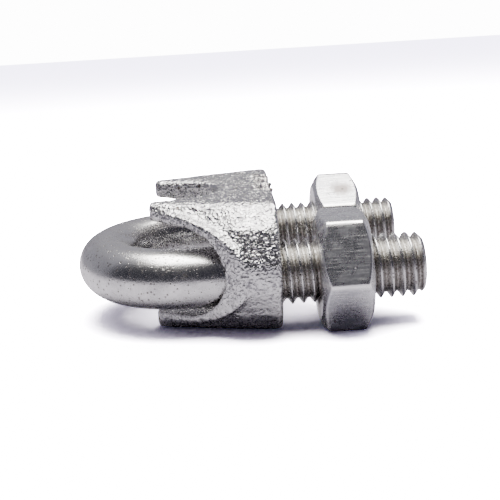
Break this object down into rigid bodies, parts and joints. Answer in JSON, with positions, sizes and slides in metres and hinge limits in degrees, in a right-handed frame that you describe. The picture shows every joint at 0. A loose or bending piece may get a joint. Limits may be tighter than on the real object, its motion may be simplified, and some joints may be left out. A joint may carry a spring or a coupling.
{
  "type": "wire rope clip",
  "caption": "U-bolt clip for steel wire rope: threaded U-bolt, cast saddle with four horns and a rope seat, and plain hexagon nuts.",
  "frame": {"origin": "on the axis of the rope seat, at mid height of the saddle", "axes": "+X along the U-bolt's legs towards the nuts, +Y from the front leg to the back leg, +Z along the rope"},
  "size_m": [0.032, 0.0265, 0.0125],
  "materials": {
    "bolt_zinc": "satin zinc over rolled steel",
    "cast_zinc": "galvanised malleable casting, orange-peel skin",
    "nut_zinc": "zinc plated, lightly scratched"
  },
  "bodies": {
    "u_bolt": {"u_bolt": "bolt_zinc"},
    "saddle": {"saddle": "cast_zinc"},
    "front_nut": {"front_nut": "nut_zinc"},
    "back_nut": {"back_nut": "nut_zinc"}
  },
  "joints": [
    {"name": "saddle_slide", "type": "slide", "parent": "u_bolt", "child": "saddle", "axis": [1, 0, 0], "range_m": [-0.003, 0.0033]},
    {"name": "front_nut_turn", "type": "hinge", "parent": "saddle", "child": "front_nut", "pos_m": [0.0126, -0.0077, -0.0008], "axis": [1, 0, 0], "range_deg": [-1080, 1188]},
    {"name": "back_nut_turn", "type": "hinge", "parent": "saddle", "child": "back_nut", "pos_m": [0.0139, 0.0077, -0.0008], "axis": [1, 0, 0], "range_deg": [-1080, 1188]}
  ],
  "couplings": [
    {"joint": "saddle_slide", "follows": "front_nut_turn", "m_per_rad": 0.00015915},
    {"joint": "back_nut_turn", "follows": "front_nut_turn", "ratio": 1}
  ]
}
